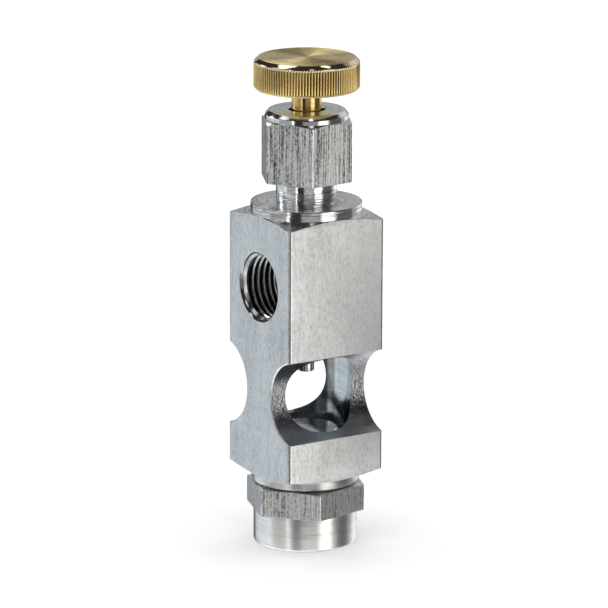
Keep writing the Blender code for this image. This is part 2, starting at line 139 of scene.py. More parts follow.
# ---- packing nut ---------------------------------------------------------------------
NUT_FLATS = 12.00 * MM
NUT_TURN = math.radians(3.4)
NUT_CONE = math.tan(math.radians(20.0))
NUT_CONE_Z = NUT_HIGH.z - 1.29 * MM
COLLAR_RADIUS = 5.89 * MM
COLLAR_BEVEL = 0.52 * MM
COLLAR_BEVEL_HEIGHT = 0.64 * MM
COLLAR_EDGE = 0.34 * MM
NUT_ROOF = NUT_HIGH.z - 2.38 * MM
NUT_HOLE = 2.59 * MM
NUT_HOLE_EDGE = 0.12 * MM
NUT_THREAD = NECK_RADIUS + 0.01 * MM
NUT_MOUTH = 0.30 * MM

# ---- knob and its knurl --------------------------------------------------------------
KNOB_RADIUS = KNOB_HIGH.x
KNOB_FACE = KNOB_RADIUS - 0.63 * MM
CROWN_LOW = KNOB_HIGH.z - 0.78 * MM
CROWN_BEVEL_LOW = CROWN_LOW + 0.25 * MM
TEETH = 112
TOOTH_DEPTH = 0.21 * MM
KNOB_SOCKET = 2.14 * MM
KNOB_ROOF = STEM_HIGH.z + 0.02 * MM

# ---- stem and needle -----------------------------------------------------------------
STEM_RADIUS = 2.12 * MM
STEM_CREST = STEM_HIGH.x
STEM_PITCH = 0.794 * MM
STEM_THREAD_HIGH = BODY_HIGH.z - BOX_DEPTH - 2.70 * MM
STEM_THREAD_LENGTH = 7.00 * MM
NEEDLE_RADIUS = 1.60 * MM
NEEDLE_TIP = 0.20 * MM
NEEDLE_TAPER = 0.35            # radius gained for each unit of height


# ======================= mesh helpers =================================================
def add_object(name, mesh):
    """New object of the mesh, or of other data, in the scene."""
    obj = bpy.data.objects.new(name, mesh)
    bpy.context.scene.collection.objects.link(obj)
    return obj


def surface_of_rows(name, rows, steps):
    """Closed mesh from rows; each row is one axis point or `steps` points round it."""
    points = []
    starts = []
    for row in rows:
        starts.append(len(points))
        points.extend(row)
    faces = []
    for k in range(len(rows) - 1):
        a, b = starts[k], starts[k + 1]
        for i in range(steps):
            j = (i + 1) % steps
            if len(rows[k]) == 1:
                faces.append((a, b + i, b + j))
            elif len(rows[k + 1]) == 1:
                faces.append((a + i, b, a + j))
            else:
                faces.append((a + i, b + i, b + j, a + j))
    mesh = bpy.data.meshes.new(name)
    mesh.from_pydata(points, [], faces)
    mesh.validate()
    return mesh


def round_row(radius, height, steps):
    """Points of a circle about Z, or its one axis point."""
    if radius <= 0.0:
        return [(0.0, 0.0, height)]
    return [(radius * math.cos(math.tau * i / steps),
             radius * math.sin(math.tau * i / steps), height) for i in range(steps)]


def lathe(name, profile, steps=FINE):
    """Turned solid: (radius, height) points down the outer side, axis to axis."""
    rows = [round_row(radius, height, steps) for radius, height in profile]
    return add_object(name, surface_of_rows(name, rows, steps))


def ring_lathe(name, profile, steps=FINE):
    """Turned ring: the profile closes on itself."""
    rows = [round_row(radius, height, steps) for radius, height in profile]
    rows.append(rows[0])
    return welded(add_object(name, surface_of_rows(name, rows, steps)))


def rounded(corner, before, after, radius, steps=4):
    """Points of an arc that rounds a profile's corner."""
    corner, before, after = (Vector(p) for p in (corner, before, after))
    into = (before - corner).normalized()
    out = (after - corner).normalized()
    half = into.angle(out) / 2
    reach = min(radius / math.tan(half), 0.49 * (before - corner).length,
                0.49 * (after - corner).length)
    radius = reach * math.tan(half)
    centre = corner + (into + out).normalized() * (radius / math.sin(half))
    start = corner + into * reach - centre
    end = corner + out * reach - centre
    turn = start.angle_signed(end)
    points = []
    for k in range(steps + 1):
        spoke = start.copy()
        spoke.rotate(Matrix.Rotation(-turn * k / steps, 2))
        points.append(tuple(centre + spoke))
    return points


def eased(profile, radius, steps=3):
    """The profile with every inner point rounded by the radius."""
    out = [profile[0]]
    for before, corner, after in zip(profile, profile[1:], profile[2:]):
        out.extend(rounded(corner, before, after, radius, steps))
    out.append(profile[-1])
    return out


def apply_modifiers(obj):
    """Put the modifiers' result into the object's mesh."""
    bpy.context.view_layer.update()
    evaluated = obj.evaluated_get(bpy.context.evaluated_depsgraph_get())
    mesh = bpy.data.meshes.new_from_object(evaluated)
    obj.modifiers.clear()
    obj.data = mesh
    return obj


def welded(obj):
    """Join the points that lie on one another."""
    weld = obj.modifiers.new("Weld", "WELD")
    weld.merge_threshold = WELD_DISTANCE
    return apply_modifiers(obj)


def combine(obj, tool, operation):
    """Boolean with the tool, which leaves its material on the cut and is removed."""
    step = obj.modifiers.new("Cut", "BOOLEAN")
    step.operation = operation
    step.solver = "EXACT"
    step.material_mode = "TRANSFER"
    step.object = tool
    apply_modifiers(obj)
    bpy.data.objects.remove(tool, do_unlink=True)
    return obj


def smooth(obj):
    """Clean mesh, shaded smooth up to the angle of a real edge."""
    welded(obj)
    obj.data.shade_smooth()
    obj.data.set_sharp_from_angle(angle=SMOOTH_ANGLE)
    return obj


def transform(obj, matrix):
    """Move the mesh inside its object."""
    obj.data.transform(matrix)
    return obj


def thread_shape(phase):
    """0 at a crest and 1 at a root of a 60 degree thread with small flats."""
    ramp = abs((phase % 1.0) * 2.0 - 1.0)
    return min(max((ramp - THREAD_FLAT) / (1.0 - 2 * THREAD_FLAT), 0.0), 1.0)


def threaded_plug(name, low, high, low_end, high_end):
    """Solid that cuts an internal pipe thread from low to high about Z.

    low_end and high_end are extra (radius, height) points that carry it on to its ends,
    listed from the top down like a lathe profile. The thread runs out to its crests in
    half a pitch at both ends.
    """
    turns = (high - low) / PIPE_PITCH
    count = int((turns + 1) * THREAD_ROWS) + 1
    rows = [round_row(radius, height, MEDIUM) for radius, height in high_end]
    for k in range(count + 1):
        row = []
        for i in range(MEDIUM):
            part = i / MEDIUM
            height = high + PIPE_PITCH * (part - k / THREAD_ROWS)
            clamped = min(max(height, low), high)
            inner = min(high - clamped, clamped - low) / (0.5 * PIPE_PITCH)
            depth = thread_shape(k / THREAD_ROWS) * min(inner, 1.0)
            radius = PIPE_CREST + (PIPE_ROOT - PIPE_CREST) * depth
            row.append((radius * math.cos(math.tau * part),
                        radius * math.sin(math.tau * part), clamped))
        rows.append(row)
    rows.extend(round_row(radius, height, MEDIUM) for radius, height in low_end)
    return welded(add_object(name, surface_of_rows(name, rows, MEDIUM)))


def hexagon(name, flats, turn, low, high):
    """Hexagon bar with one corner at `turn` from +X, its corners slightly eased."""
    ease = 0.012               # angle between a corner's two points and its middle
    reach = (flats / 2) / math.cos(math.pi / 6 - ease)
    outline = []
    for k in range(6):
        for side in (-1, 1):
            angle = turn + math.tau * k / 6 + side * ease
            outline.append((reach * math.cos(angle), reach * math.sin(angle)))
    rows = [[(0.0, 0.0, high)], [(x, y, high) for x, y in outline],
            [(x, y, low) for x, y in outline], [(0.0, 0.0, low)]]
    return add_object(name, surface_of_rows(name, rows, len(outline)))


# ======================= materials ====================================================
def math_node(tree, operation, first, second=None, clamp=False):
    """Output of a Math node; its inputs are numbers or outputs of other nodes."""
    node = tree.nodes.new("ShaderNodeMath")
    node.operation = operation
    node.use_clamp = clamp
    for socket, value in zip(node.inputs, (first, second)):
        if isinstance(value, (int, float)):
            socket.default_value = value
        elif value is not None:
            tree.links.new(value, socket)
    return node.outputs[0]


class Nodes:
    """A material's node tree with short calls for what repeats."""

    def __init__(self, name):
        self.material = bpy.data.materials.new(name)
        self.material.use_nodes = True
        self.tree = self.material.node_tree
        self.shader = self.tree.nodes["Principled BSDF"]
        self.coords = self.node("ShaderNodeTexCoord").outputs["Object"]

    def node(self, kind, **settings):
        made = self.tree.nodes.new(kind)
        for key, value in settings.items():
            setattr(made, key, value)
        return made

    def link(self, output, socket):
        self.tree.links.new(output, socket)

    def math(self, operation, first, second=None):
        return math_node(self.tree, operation, first, second)

    def scaled(self, vector, scale):
        made = self.node("ShaderNodeMapping")
        made.inputs["Scale"].default_value = scale
        self.link(vector, made.inputs["Vector"])
        return made.outputs["Vector"]

    def noise(self, vector, detail, roughness):
        made = self.node("ShaderNodeTexNoise")
        made.inputs["Scale"].default_value = 1.0
        made.inputs["Detail"].default_value = detail
        made.inputs["Roughness"].default_value = roughness
        self.link(vector, made.inputs["Vector"])
        return made.outputs["Fac"]

    def grain(self, across, along, detail, roughness):
        """Noise with its scale across Z and along it, in cells to the metre."""
        return self.noise(self.scaled(self.coords, (across, across, along)),
                          detail, roughness)

    def spread(self, value, low, high, out_low, out_high):
        """The value, with its range low to high carried over to the new range."""
        made = self.node("ShaderNodeMapRange")
        for key, number in (("From Min", low), ("From Max", high),
                            ("To Min", out_low), ("To Max", out_high)):
            made.inputs[key].default_value = number
        self.link(value, made.inputs["Value"])
        return made.outputs["Result"]

    def ramp(self, value, stops):
        made = self.node("ShaderNodeValToRGB")
        elements = made.color_ramp.elements
        while len(elements) < len(stops):
            elements.new(0.5)
        for element, (place, colour) in zip(elements, stops):
            element.position = place
            element.color = (*colour, 1.0)
        self.link(value, made.inputs["Fac"])
        return made.outputs["Color"]

    def multiply(self, first, second):
        made = self.node("ShaderNodeMix", data_type="RGBA", blend_type="MULTIPLY")
        made.inputs[0].default_value = 1.0
        self.link(first, made.inputs[6])
        self.link(second, made.inputs[7])
        return made.outputs[2]

    def bump(self, height, strength, distance, normal=None):
        made = self.node("ShaderNodeBump")
        made.inputs["Strength"].default_value = strength
        made.inputs["Distance"].default_value = distance
        self.link(height, made.inputs["Height"])
        if normal is not None:
            self.link(normal, made.inputs["Normal"])
        return made.outputs["Normal"]

    def soft_edges(self, radius):
        """Normal that rounds the sharp edges in the shading."""
        made = self.node("ShaderNodeBevel", samples=4)
        made.inputs["Radius"].default_value = radius
        return made.outputs["Normal"]

    def around(self, axis, centre):
        """Path across the tool marks and the direction round the axis, with no seam.

        The second value is the distance from the axis.
        """
        shift = self.node("ShaderNodeVectorMath", operation="SUBTRACT")
        self.link(self.coords, shift.inputs[0])
        shift.inputs[1].default_value = centre
        parts = self.node("ShaderNodeSeparateXYZ")
        self.link(shift.outputs[0], parts.inputs[0])
        along = parts.outputs[axis]
        across = [parts.outputs[n] for n in "XYZ" if n != axis]
        square = [self.math("MULTIPLY", a, a) for a in across]
        radius = self.math("SQRT", self.math("ADD", *square))
        safe = self.math("MAXIMUM", radius, 0.01 * MM)
        join = self.node("ShaderNodeCombineXYZ")
        self.link(self.math("ADD", radius, self.math("MULTIPLY", along, ALONG_SHARE)),
                  join.inputs["X"])
        self.link(self.math("DIVIDE", across[0], safe), join.inputs["Y"])
        self.link(self.math("DIVIDE", across[1], safe), join.inputs["Z"])
        return join.outputs[0], radius

    def total(self, *weighted):
        """0.5 plus each noise's difference from 0.5 times its weight."""
        value = 0.5
        for noise, weight in weighted:
            part = self.math("MULTIPLY", self.math("SUBTRACT", noise, 0.5), weight)
            value = self.math("ADD", part, value)
        return value


# ---- grain of the metals: distances in metres, scales in cells to the metre
BEVEL_DRAWN = 0.10 * MM
BEVEL_TURNED = 0.06 * MM
BEVEL_FINE = 0.02 * MM
DRAWN_RELIEF = 0.03 * MM
SEAL_RELIEF = 0.02 * MM
FINE_GRAIN = 3600
ALONG_SHARE = 0.73             # step along the axis against one from it, for tool marks
ARC_SPREAD = 1.6               # how quickly tool marks change round the axis
ORIGIN = (0.0, 0.0, 0.0)
WHITE = (1.0, 1.0, 1.0)


def shade(colour, factor):
    """The colour made darker or lighter, up to white."""
    return tuple(min(c * factor, 1.0) for c in colour)


def finish_metal(nodes, colour, roughness, anisotropy, turn):
    """Link a metal's colour and roughness; turn is where its highlights stretch."""
    shader = nodes.shader
    shader.inputs["Metallic"].default_value = 1.0
    shader.inputs["Anisotropic"].default_value = anisotropy
    shader.inputs["Anisotropic Rotation"].default_value = turn
    if anisotropy:
        tangent = nodes.node("ShaderNodeTangent", direction_type="RADIAL", axis="Z")
        nodes.link(tangent.outputs[0], shader.inputs["Tangent"])
    nodes.link(colour, shader.inputs["Base Color"])
    nodes.link(roughness, shader.inputs["Roughness"])


def drawn_metal(name, colour, roughness, contrast, bump, length, anisotropy=0.55,
                fleck=0.72, grit=0.8, density=5000, deep=0.45, high=1.4):
    """Drawn bar: lines along Z, grain, soft mottling and short dark flecks.

    contrast is for the lines, length how long they are, density how many there are,
    grit how strong the grain is, fleck how light the dark flecks stay, and deep and
    high shade the colour at the ends of the whole pattern.
    """
    n = Nodes(name)
    lines = n.grain(density, 800 / length, 3, 0.65)
    middle = n.grain(density / 2, 420 / length, 3, 0.6)
    wide = n.grain(900, 90 / length, 2, 0.5)
    grain = n.grain(FINE_GRAIN, 2200, 3, 0.65)
    blotch = n.grain(230, 150, 3, 0.5)
    flecks = n.grain(3100, 700 / length, 2, 0.5)
    mix = n.total((lines, 1.1 * contrast), (middle, 0.4 * contrast), (wide, 0.25),
                  (grain, grit), (blotch, 0.3))
    base = n.ramp(mix, [(0.0, shade(colour, deep)), (0.5, colour),
                        (1.0, shade(colour, high))])
    dark = n.ramp(flecks, [(0.26, (fleck,) * 3), (0.34, WHITE)])
    rough = n.spread(mix, 0.2, 0.8, roughness + 0.08, roughness - 0.08)
    finish_metal(n, n.multiply(base, dark), rough, anisotropy, 0.0)
    normal = n.bump(mix, bump, DRAWN_RELIEF, n.soft_edges(BEVEL_DRAWN))
    n.link(normal, n.shader.inputs["Normal"])
    return n.material


def turned_metal(name, colour, roughness, bump=0.3, marks=4500, anisotropy=0.6,
                 axis="Z", centre=ORIGIN, edge=BEVEL_TURNED, contrast=1.0,
                 painted_root_shade=None, chatter=0.0, relief=0.03 * MM):
    """Lathe-turned metal: arcs that follow the tool round the axis.

    marks is the scale of the arcs, edge the radius of the shaded edges, chatter how
    much of the relief is uneven, and painted_root_shade is painted shade in the roots
    of a thread or knurl (radius of the roots, radius of the crests, darkness of the
    painted shade at the roots, how far up the flank it fades to full colour).
    """
    n = Nodes(name)
    path, radius = n.around(axis, centre)
    fine = n.noise(n.scaled(path, (marks, ARC_SPREAD, ARC_SPREAD)), 3, 0.65)
    broad = n.noise(n.scaled(path, (marks / 4, ARC_SPREAD / 2, ARC_SPREAD / 2)), 2, 0.5)
    haze = n.grain(420, 420, 4, 0.55)
    grain = n.grain(FINE_GRAIN, FINE_GRAIN, 2, 0.6)
    mix = n.total((fine, 0.8 * contrast), (broad, 0.5 * contrast), (haze, 0.3),
                  (grain, 0.25 + chatter))
    paint = n.ramp(mix, [(0.0, shade(colour, 0.55)), (0.5, colour),
                         (1.0, shade(colour, 1.3))])
    # painted shade: the roots go dark and the flanks fade up to full colour
    if painted_root_shade:
        root, crest, darkness, bright = painted_root_shade
        level = n.spread(radius, root, crest, 0.0, 1.0)
        paint = n.multiply(paint, n.ramp(level, [(bright - 0.55, (darkness,) * 3),
                                                 (bright, WHITE)]))
    rough = n.spread(mix, 0.2, 0.8, roughness + 0.06, roughness - 0.05)
    finish_metal(n, paint, rough, anisotropy, 0.25)
    height = n.total((fine, 1.0), (broad, 0.8), (grain, chatter * 2.0))
    normal = n.bump(height, bump, relief, n.soft_edges(edge))
    n.link(normal, n.shader.inputs["Normal"])
    return n.material


def soft_material(name, colour, roughness, grain, bump):
    """Rubber or fluoropolymer: a faint grain in colour, gloss and surface."""
    n = Nodes(name)
    speck = n.grain(grain, grain, 4, 0.6)
    n.link(n.ramp(speck, [(0.3, shade(colour, 0.88)), (0.7, colour)]),
           n.shader.inputs["Base Color"])
    n.link(n.spread(speck, 0.3, 0.7, roughness - 0.06, roughness + 0.06),
           n.shader.inputs["Roughness"])
    n.link(n.bump(speck, bump, SEAL_RELIEF), n.shader.inputs["Normal"])
    return n.material


def make_materials():
    """Every material by a short name of its place."""
    port = {"axis": "X", "centre": (0.0, 0.0, PORT_Z), "edge": BEVEL_FINE}
    window = {"axis": "X", "centre": (0.0, 0.0, WINDOW_Z)}
    return {
        # body
        "bar": drawn_metal("bar_drawn", (0.74, 0.75, 0.75), 0.38, contrast=0.6,
                           bump=0.3, length=0.8, fleck=0.87),
        "burr": drawn_metal("bar_burr", (0.86, 0.86, 0.86), 0.45, contrast=1.0,
                            bump=0.6, length=0.3, anisotropy=0.0),
        "edge": drawn_metal("bar_edge", (0.66, 0.65, 0.65), 0.17, contrast=0.6,
                            bump=0.15, length=2.0, anisotropy=0.2),
        "turned": turned_metal("bar_turned", (0.78, 0.79, 0.80), 0.17, 1.0, 3100, 0.5,
                               contrast=4.0, relief=0.06 * MM),
        "ring": turned_metal("bar_ring", (0.80, 0.80, 0.79), 0.42, 0.3, 5200, 0.9),
        # painted shade: the window's milled faces are a darker copy of the bar's aluminium
        "milled": turned_metal("window_milled_painted_shade", (0.40, 0.41, 0.43), 0.18, 0.8, 3600, 0.3,
                               chatter=1.0, relief=0.05 * MM, **window),
        # painted shade: the sight bore's wall is a darker, bluer copy of the bar's
        # aluminium
        "bored": turned_metal("sight_bored_painted_shade", (0.62, 0.66, 0.68), 0.14, 0.5, 3600, 0.3),
        # painted shade: the port's thread and mouth are darker copies of the bar's
        # aluminium, with near-black painted shade in the thread's roots
        "port": turned_metal("port_thread_painted_shade", (0.50, 0.51, 0.52), 0.18, 0.3, 6000, 0.0,
                             painted_root_shade=(PIPE_ROOT, PIPE_CREST, 0.03, 0.7), **port),
        "mouth": turned_metal("port_mouth_painted_shade", (0.42, 0.43, 0.44), 0.16, 0.3, 6000, 0.3,
                              **port),
        # outlet fitting
        "hex": drawn_metal("fitting_drawn", (0.79, 0.79, 0.78), 0.42, contrast=1.8,
                           bump=0.5, length=5.0, anisotropy=0.0, fleck=0.55,
                           grit=1.8, density=3300, deep=0.24, high=1.7),
        "fitting": turned_metal("fitting_turned", (0.88, 0.88, 0.85), 0.34, 0.3, 5200,
                                0.7, contrast=1.3),
        # the spigot's face, outer rim and chamfer are copies of the fitting's aluminium:
        # darker as painted shade, near white as a painted highlight, near black as painted
        # shade
        "spigot": turned_metal("spigot_face_painted_shade", (0.60, 0.61, 0.62), 0.12, 0.6, 3600, 0.4),
        "rim": turned_metal("spigot_rim_painted_highlight", (0.97, 0.97, 0.97), 0.20, 0.3, 3600, 0.0),
        "shade": turned_metal("spigot_chamfer_painted_shade", (0.14, 0.15, 0.16), 0.25, 0.5, 3600,
                              0.3),
        # painted shade in the socket thread's roots; the thread is also a darker copy of
        # the fitting's aluminium
        "socket": turned_metal("socket_thread_painted_shade", (0.70, 0.70, 0.70), 0.2, 0.15, 6000, 0.0,
                               edge=BEVEL_FINE, painted_root_shade=(PIPE_ROOT, PIPE_CREST, 0.2, 0.6)),
        # packing nut
        "nut": drawn_metal("nut_drawn", (0.73, 0.74, 0.73), 0.38, contrast=2.8,
                           bump=0.6, length=7.0, anisotropy=0.5, fleck=0.4,
                           grit=2.2, density=3300, deep=0.16, high=1.6),
        "collar": turned_metal("nut_polished", (0.78, 0.79, 0.80), 0.14, 0.7,
                               contrast=2.2, relief=0.05 * MM),
        # knob, stem and the pieces inside
        "knob": turned_metal("knob_turned", (0.80, 0.64, 0.30), 0.34, 0.5, 4200, 1.0,
                             contrast=1.5),
        "crown": turned_metal("knob_crown", (0.90, 0.78, 0.52), 0.05, 0.15, 4200, 0.0),
        # painted shade in the roots between the knurl's teeth
        "knurl": turned_metal("knob_knurl_painted_shade", (0.80, 0.58, 0.23), 0.20, 0.1, 3000, 0.0,
                              edge=BEVEL_FINE, contrast=0.6,
                              painted_root_shade=(KNOB_RADIUS - TOOTH_DEPTH, KNOB_RADIUS, 0.08, 0.85)),
        "stem": turned_metal("stem_turned", (0.80, 0.54, 0.21), 0.18, 0.15, 4500, 0.2),
        "nozzle": turned_metal("nozzle_turned", (0.66, 0.66, 0.66), 0.14, 0.2),
        "gland": turned_metal("gland_turned", (0.74, 0.57, 0.28), 0.28),
        "rubber": soft_material("seal_rubber", (0.02, 0.02, 0.02), 0.55, 4000, 0.2),
        "packing": soft_material("packing_polymer", (0.85, 0.85, 0.82), 0.42, 2500, 0.1),
    }


# ======================= pieces =======================================================
def bar_shell():
    """Square bar with round corners, longer than the body at both ends."""
    inner = BAR_HALF - BAR_EDGE
    outline = []
    for k in range(4):
        turn = Matrix.Rotation(math.pi / 2 * k, 2)
        for step in range(EDGE_STEPS + 1):
            angle = math.pi / 2 * step / EDGE_STEPS
            spoke = Vector((math.cos(angle), math.sin(angle))) * BAR_EDGE
            outline.append(tuple(turn @ (Vector((inner, inner)) + spoke)))
    low, high = BODY_LOW.z - CUT, BODY_HIGH.z + CUT
    rows = [[(0, 0, high)], [(x, y, high) for x, y in outline],
            [(x, y, low) for x, y in outline], [(0, 0, low)]]
    return add_object("body_shell", surface_of_rows("body_shell", rows, len(outline)))


def body_profile(ring_high):
    """Outline of the turned ends, with the bar's own part left wider than the bar."""
    reach = 2 * BAR_HALF
    flange_low = BAR_TOP + (BAR_HALF - FLANGE_RADIUS) * END_CONE
    groove_top = FLANGE_TOP - FLANGE_GROOVE_DROP
    flange = eased([(NECK_RADIUS - NECK_UNDERCUT, FLANGE_TOP),
                    (FLANGE_RADIUS, FLANGE_TOP), (FLANGE_RADIUS, groove_top),
                    (FLANGE_RADIUS - FLANGE_GROOVE_DEPTH,
                     groove_top - FLANGE_GROOVE_DEPTH),
                    (FLANGE_RADIUS, groove_top - 3 * FLANGE_GROOVE_DEPTH),
                    (FLANGE_RADIUS, flange_low)], TURNED_EDGE)
    cones = [(reach, BAR_TOP - (reach - BAR_HALF) * END_CONE),
             (reach, BAR_BOTTOM + (reach - BAR_HALF) * END_CONE)]
    ring = eased([(RING_RADIUS, ring_high), (RING_RADIUS, BODY_LOW.z),
                  (0.0, BODY_LOW.z)], TURNED_EDGE)
    return neck_profile() + flange + cones + ring


def neck_profile():
    """Neck above the flange: plain under the nut, then fine turned grooves."""
    pitch = NECK_GROOVE_PITCH
    profile = [(0.0, BODY_HIGH.z), (NECK_RADIUS, BODY_HIGH.z)]
    top = FLANGE_TOP + pitch * (NECK_GROOVES + 0.5)
    for k in range(NECK_GROOVES):
        z = top - pitch * k
        profile += [(NECK_RADIUS, z), (NECK_RADIUS, z - 0.6 * pitch),
                    (NECK_RADIUS - NECK_GROOVE_DEPTH, z - 0.8 * pitch)]
    return profile + [(NECK_RADIUS, FLANGE_TOP + 0.55 * pitch),
                      (NECK_RADIUS - NECK_UNDERCUT, FLANGE_TOP + 0.25 * pitch)]


def make_body(mats):
    """Bar cut to its turned outline, then bored, notched and threaded."""
    body = bar_shell()
    for look in ("bar", "edge"):
        body.data.materials.append(mats[look])
    for polygon in body.data.polygons:
        at_corner = min(abs(polygon.normal.x), abs(polygon.normal.y)) > 0.05
        polygon.material_index = 1 if at_corner else 0

    ring_high = BAR_BOTTOM - (BAR_HALF - RING_RADIUS) * END_CONE
    outside = lathe("outside", body_profile(ring_high))
    for look in ("turned", "ring"):
        outside.data.materials.append(mats[look])
    for polygon in outside.data.polygons:
        polygon.material_index = 1 if polygon.center.z < ring_high else 0
    combine(body, outside, "INTERSECT")

    bore = lathe("bore", [
        (0.0, BODY_HIGH.z + CUT), (BOX_RADIUS, BODY_HIGH.z + CUT),
        (BOX_RADIUS, BODY_HIGH.z - BOX_DEPTH), (CHAMBER_RADIUS, BODY_HIGH.z - BOX_DEPTH),
        (CHAMBER_RADIUS, SHOULDER_Z), (NOZZLE_RADIUS, SHOULDER_Z),
        (NOZZLE_RADIUS, CEILING_Z), (SIGHT_BORE, CEILING_Z),
        (SIGHT_BORE, BODY_LOW.z - CUT), (0.0, BODY_LOW.z - CUT)])
    # half a step round, so that no edge of it lies on an edge of the outside
    transform(bore, Matrix.Rotation(math.pi / FINE, 4, "Z"))
    bore.data.materials.append(mats["bored"])
    combine(body, bore, "DIFFERENCE")

    for sign in (-1, 1):
        combine(body, notch_tool(sign, mats["milled"], mats["burr"]), "DIFFERENCE")
        for level in (-1, 1):
            combine(body, edge_tool(sign, level, mats["burr"]), "DIFFERENCE")
    combine(body, port_tool(mats["port"], mats["mouth"]), "DIFFERENCE")
    return smooth(body)


def notch_tool(sign, material, burr_material):
    """Half-round cutter along X whose ends flare to break the notch's edges."""
    half, flare = BAR_HALF, NOTCH_EDGE
    profile = [
        (0.0, half + CUT), (NOTCH_RADIUS + flare + CUT, half + CUT),
        (NOTCH_RADIUS, half - flare), (NOTCH_RADIUS, -half + flare),
        (NOTCH_RADIUS + flare + CUT, -half - CUT), (0.0, -half - CUT)]
    tool = lathe("notch", profile)
    tool.data.materials.append(material)
    tool.data.materials.append(burr_material)
    for polygon in tool.data.polygons:
        polygon.material_index = 1 if abs(polygon.center.z) > half - flare else 0
    offset = sign * (BAR_HALF + NOTCH_RADIUS - NOTCH_DEPTH)
    place = Matrix.Translation((0, offset, WINDOW_Z)) @ Matrix.Rotation(math.pi / 2, 4, "Y")
    return transform(tool, place)


def edge_tool(sign, level, material):
    """Square bar that breaks the long edge where a notch meets the front or back face."""
    drop = NOTCH_RADIUS - NOTCH_DEPTH
    rise = math.sqrt(NOTCH_RADIUS ** 2 - drop ** 2)
    size, reach = 1.0 * MM, 2 * BAR_HALF
    corners = [(size * math.cos(a), size * math.sin(a))
               for a in (math.pi / 4 + math.pi / 2 * k for k in range(4))]
    rows = [[(-reach, 0.0, 0.0)], [(-reach, y, z) for y, z in corners],
            [(reach, y, z) for y, z in corners], [(reach, 0.0, 0.0)]]
    tool = add_object("edge_break", surface_of_rows("edge_break", rows, len(corners)))
    out = size * math.sqrt(0.5) - LONG_EDGE * math.sqrt(0.5)
    step = out * math.sqrt(0.5)
    place = Matrix.Translation((0, sign * (BAR_HALF + step),
                                WINDOW_Z + level * (rise - step)))
    transform(tool, place @ Matrix.Rotation(math.pi / 4, 4, "X"))
    tool.data.materials.append(material)
    return tool


def port_tool(material, mouth_material):
    """Threaded inlet port: built up +Z, then turned to open along -X."""
    face = BAR_HALF
    mouth = PIPE_CREST + PORT_FLARE
    tool = threaded_plug(
        "port", PORT_FLOOR + 0.3 * MM, face - PORT_MOUTH,
        [(PIPE_CREST, PORT_FLOOR), (0.0, PORT_FLOOR)],
        [(0.0, face + CUT), (mouth + PORT_BURR + CUT, face + CUT),
         (mouth, face - PORT_BURR), (mouth - 0.10 * MM, face - 0.60 * PORT_MOUTH)])
    tool.data.materials.append(material)
    tool.data.materials.append(mouth_material)
    for polygon in tool.data.polygons:
        polygon.material_index = 1 if polygon.center.z > face - PORT_MOUTH else 0
    place = Matrix.Translation((0, 0, PORT_Z)) @ Matrix.Rotation(-math.pi / 2, 4, "Y")
    return transform(tool, place)


def outlet_look(centre, top):
    """Index of the look of a turned face: fitting, spigot darkened as painted shade, its
    rim lightened as a painted highlight, or its chamfer near black as painted shade.
    """
    if centre.z <= HEXAGON_TOP + 0.2 * MM:
        return 0
    if centre.z < top - 0.10 * MM:
        return 3
    return 2 if centre.xy.length > SPIGOT_FACE - SPIGOT_HIGHLIGHT_RIM else 1


def make_outlet(mats):
    """Hexagon with a spigot above, a round end below and a threaded socket in it."""
    top, reach = OUTLET_HIGH.z, OUTLET_FLATS
    fitting = hexagon("outlet_hexagon", OUTLET_FLATS, OUTLET_TURN, -CUT, top + CUT)
    fitting.data.materials.append(mats["hex"])

    profile = [(0.0, top)] + eased(
        [(DRAIN_RADIUS, top), (SPIGOT_FACE, top),
         (SPIGOT_RADIUS, top - (SPIGOT_RADIUS - SPIGOT_FACE)),
         (SPIGOT_RADIUS, HEXAGON_TOP)], SPIGOT_EDGE)[1:]
    profile += [(HEXAGON_FACE, HEXAGON_TOP),
                (reach, HEXAGON_TOP - (reach - HEXAGON_FACE) * HEXAGON_CONE),
                (reach, OUTLET_LENGTH)]
    profile += eased([(OUTLET_RADIUS - 0.02 * MM, OUTLET_LENGTH),
                      (OUTLET_RADIUS, OUTLET_LENGTH - 0.02 * MM),
                      (OUTLET_RADIUS, 0.0), (0.0, 0.0)], OUTLET_EDGE, 5)
    outside = lathe("outside", profile)
    # spigot, rim and chamfer looks: painted shade, a painted highlight and painted shade on
    # the fitting's aluminium
    for look in ("fitting", "spigot", "rim", "shade"):
        outside.data.materials.append(mats[look])
    for polygon in outside.data.polygons:
        polygon.material_index = outlet_look(polygon.center, top)
    combine(fitting, outside, "INTERSECT")

    socket = threaded_plug(
        "socket", -SOCKET_DEPTH + 0.4 * MM, -0.75 * MM,
        [(PIPE_CREST, -SOCKET_DEPTH), (DRAIN_RADIUS, -SOCKET_DEPTH),
         (DRAIN_RADIUS, -top - CUT), (0.0, -top - CUT)],
        [(0.0, CUT), (PIPE_CREST + SOCKET_MOUTH + CUT, CUT),
         (PIPE_CREST + SOCKET_MOUTH, 0.0)])
    socket.data.materials.append(mats["socket"])
    combine(fitting, socket, "DIFFERENCE")
    return smooth(fitting)


